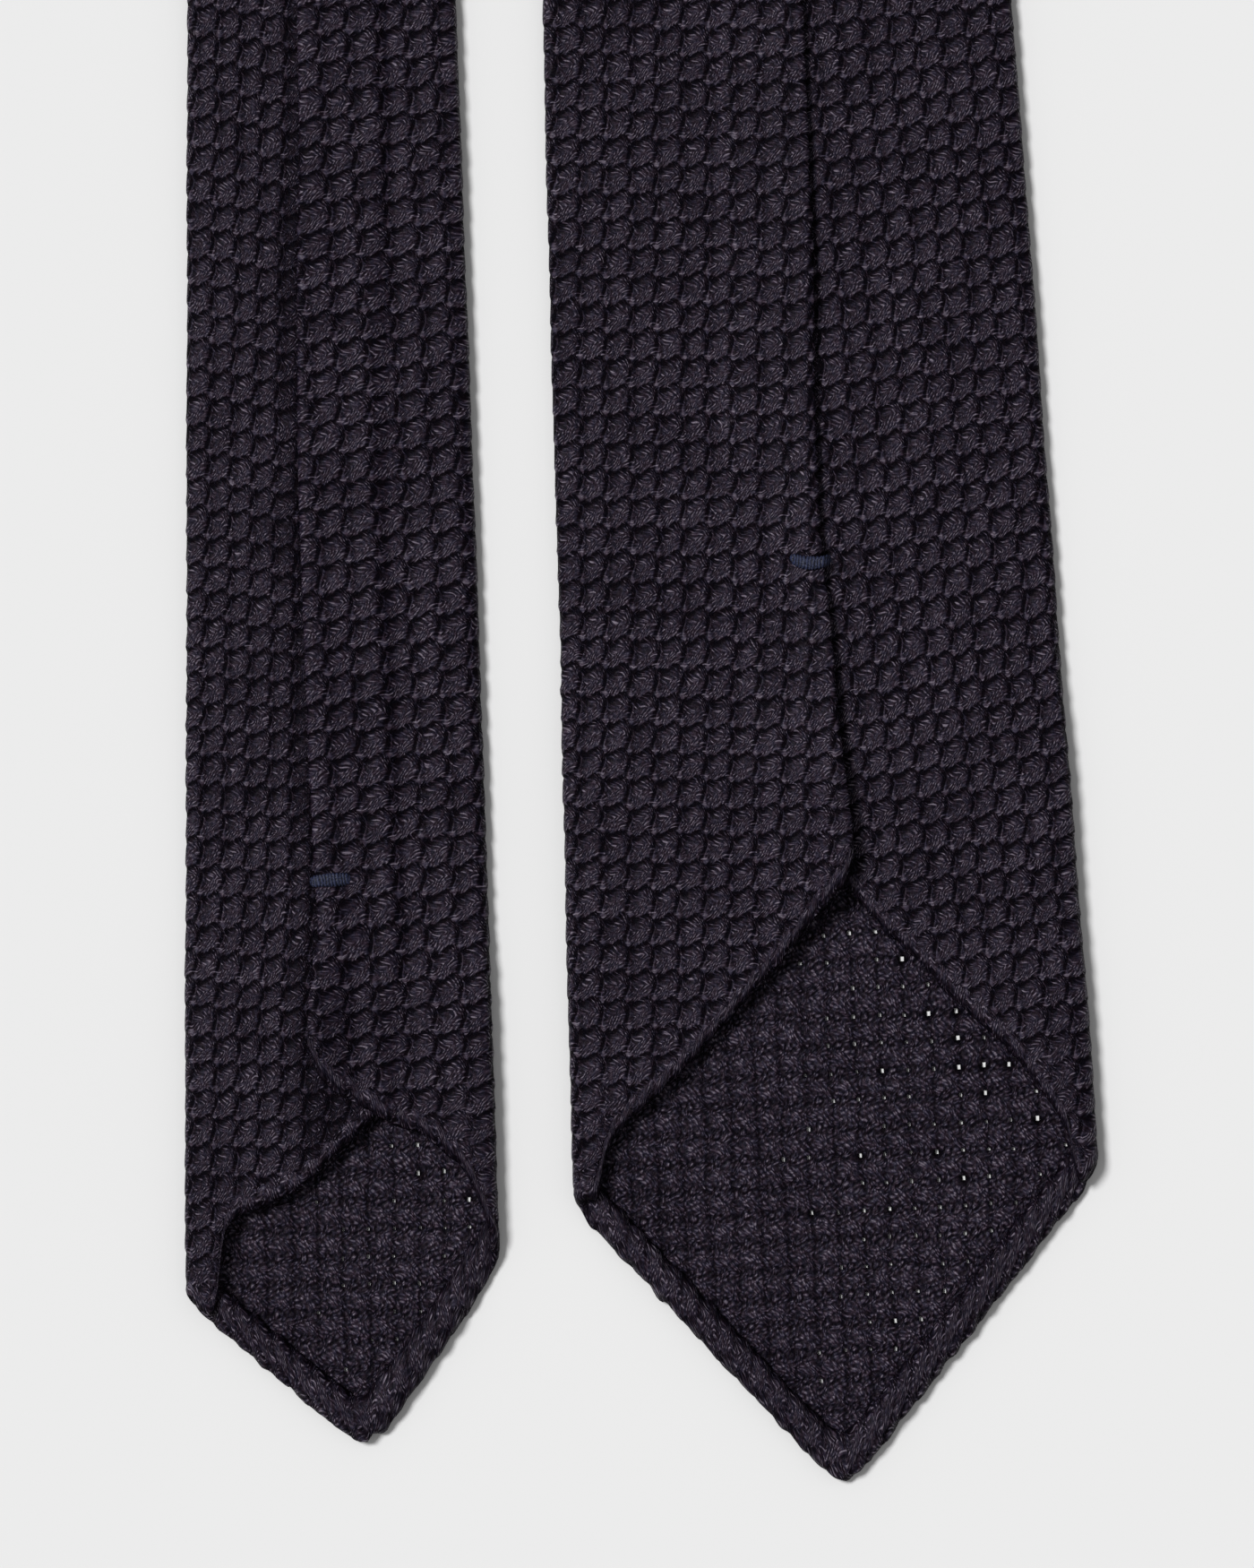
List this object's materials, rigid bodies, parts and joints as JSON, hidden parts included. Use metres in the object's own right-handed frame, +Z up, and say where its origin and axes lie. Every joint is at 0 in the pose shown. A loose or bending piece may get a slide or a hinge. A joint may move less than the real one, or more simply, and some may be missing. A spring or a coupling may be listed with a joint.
{
  "type": "grenadine tie",
  "caption": "Untipped tie of open-weave silk, folded into a flat tube, hand-rolled at both points and laid flat with its back up.",
  "frame": {"origin": "middle of the tie's outline, on the surface it lies on", "axes": "+X to the right across both blades, +Y from the points towards the neck, +Z up, away from the surface it lies on"},
  "size_m": [0.145, 0.7266, 0.0109],
  "materials": {
    "grenadine_silk": "coarse open leno weave with a dull silk sheen",
    "tack_thread": "twisted silk thread"
  },
  "bodies": {
    "root": {"front_blade": "grenadine_silk", "neck_band": "grenadine_silk", "tail_blade": "grenadine_silk", "front_bar_tack": "tack_thread", "tail_bar_tack": "tack_thread"}
  },
  "joints": []
}
